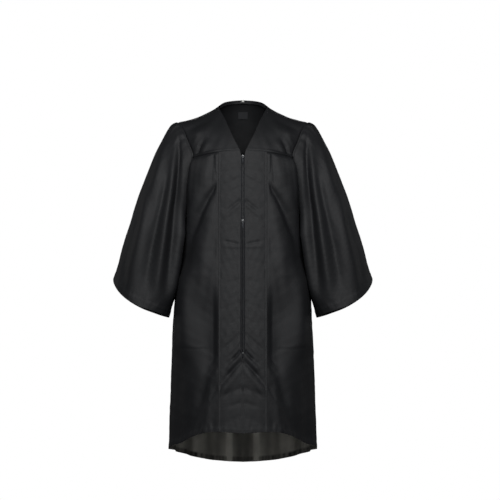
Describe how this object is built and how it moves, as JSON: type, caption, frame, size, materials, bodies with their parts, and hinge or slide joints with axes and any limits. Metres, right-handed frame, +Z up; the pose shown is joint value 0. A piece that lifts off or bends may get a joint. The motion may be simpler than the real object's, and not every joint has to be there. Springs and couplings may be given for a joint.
{
  "type": "graduation gown",
  "caption": "Full-length zipped graduation gown with a V neck, shaped yoke, gathered back and wide bell sleeves, standing hollow as worn.",
  "frame": {"origin": "midway between the two sides of the neck opening, at the height where the shoulder seams meet the neck; the wearer's shoulders hold the gown here", "axes": "+Z up, the front faces -Y, +X is the wearer's left"},
  "size_m": [0.9192, 0.4347, 1.285],
  "materials": {
    "cloth": "black polyester satin, soft sheen",
    "tape": "black woven zip tape",
    "nylon": "black nylon coil",
    "metal": "nickel plated",
    "label": "dark woven label, bare",
    "tab": "white woven tab, bare"
  },
  "bodies": {
    "gown": {"yoke_front_left": "cloth", "yoke_front_right": "cloth", "yoke_back": "cloth", "front_left": "cloth", "front_right": "cloth", "band_left": "cloth", "band_right": "cloth", "back": "cloth", "sleeve_left": "cloth", "sleeve_right": "cloth", "neck_binding": "cloth", "neck_label": "label", "neck_tab": "tab", "zip_tape_left": "tape", "zip_tape_right": "tape", "zip_chain": "nylon", "zip_row_left": "nylon", "zip_row_right": "nylon", "zip_stop": "metal", "zip_slider_top": "metal", "zip_slider_low": "metal"},
    "pull_top": {"zip_pull_top": "metal"},
    "pull_low": {"zip_pull_low": "metal"}
  },
  "joints": [
    {"name": "pull_top_swing", "type": "hinge", "parent": "gown", "child": "pull_top", "pos_m": [0, -0.13561, -0.19053], "axis": [-1, 0, 0], "range_deg": [0, 165]},
    {"name": "pull_low_swing", "type": "hinge", "parent": "gown", "child": "pull_low", "pos_m": [0, -0.15046, -0.42063], "axis": [-1, 0, 0], "range_deg": [0, 165]}
  ]
}
